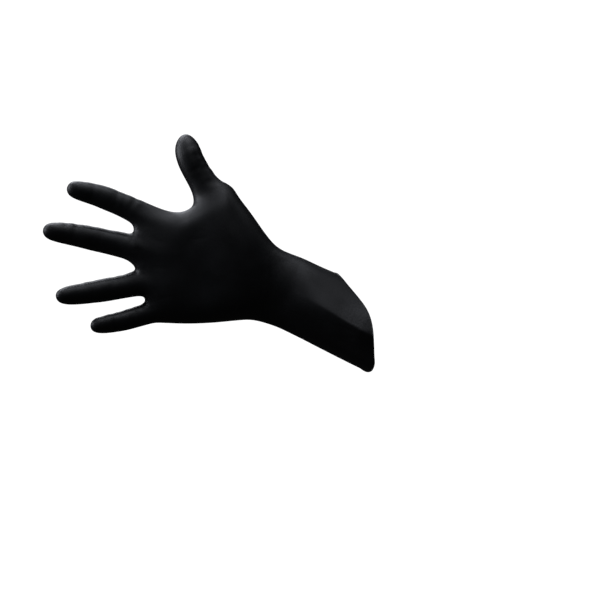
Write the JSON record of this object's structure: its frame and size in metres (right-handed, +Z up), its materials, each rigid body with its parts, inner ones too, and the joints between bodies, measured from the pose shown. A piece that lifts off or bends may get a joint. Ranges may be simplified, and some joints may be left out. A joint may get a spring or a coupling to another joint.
{
  "type": "nitrile exam glove",
  "caption": "Thin black disposable glove for a right hand, with a smooth film over spread fingers, a fitted gauntlet sleeve and a rolled bead round its slanting mouth.",
  "frame": {"origin": "centre of the slanting cuff mouth, on the sleeve's centre line, where the forearm goes in", "axes": "-X towards the fingertips, +Z up towards the thumb, -Y out of the palm; the forearm's line runs to +X and down at 22.5 degrees"},
  "size_m": [0.28, 0.0547, 0.2005],
  "materials": {
    "film": "matte",
    "bead": "satin"
  },
  "bodies": {
    "root": {"glove_film": "film", "cuff_bead": "bead"}
  },
  "joints": []
}
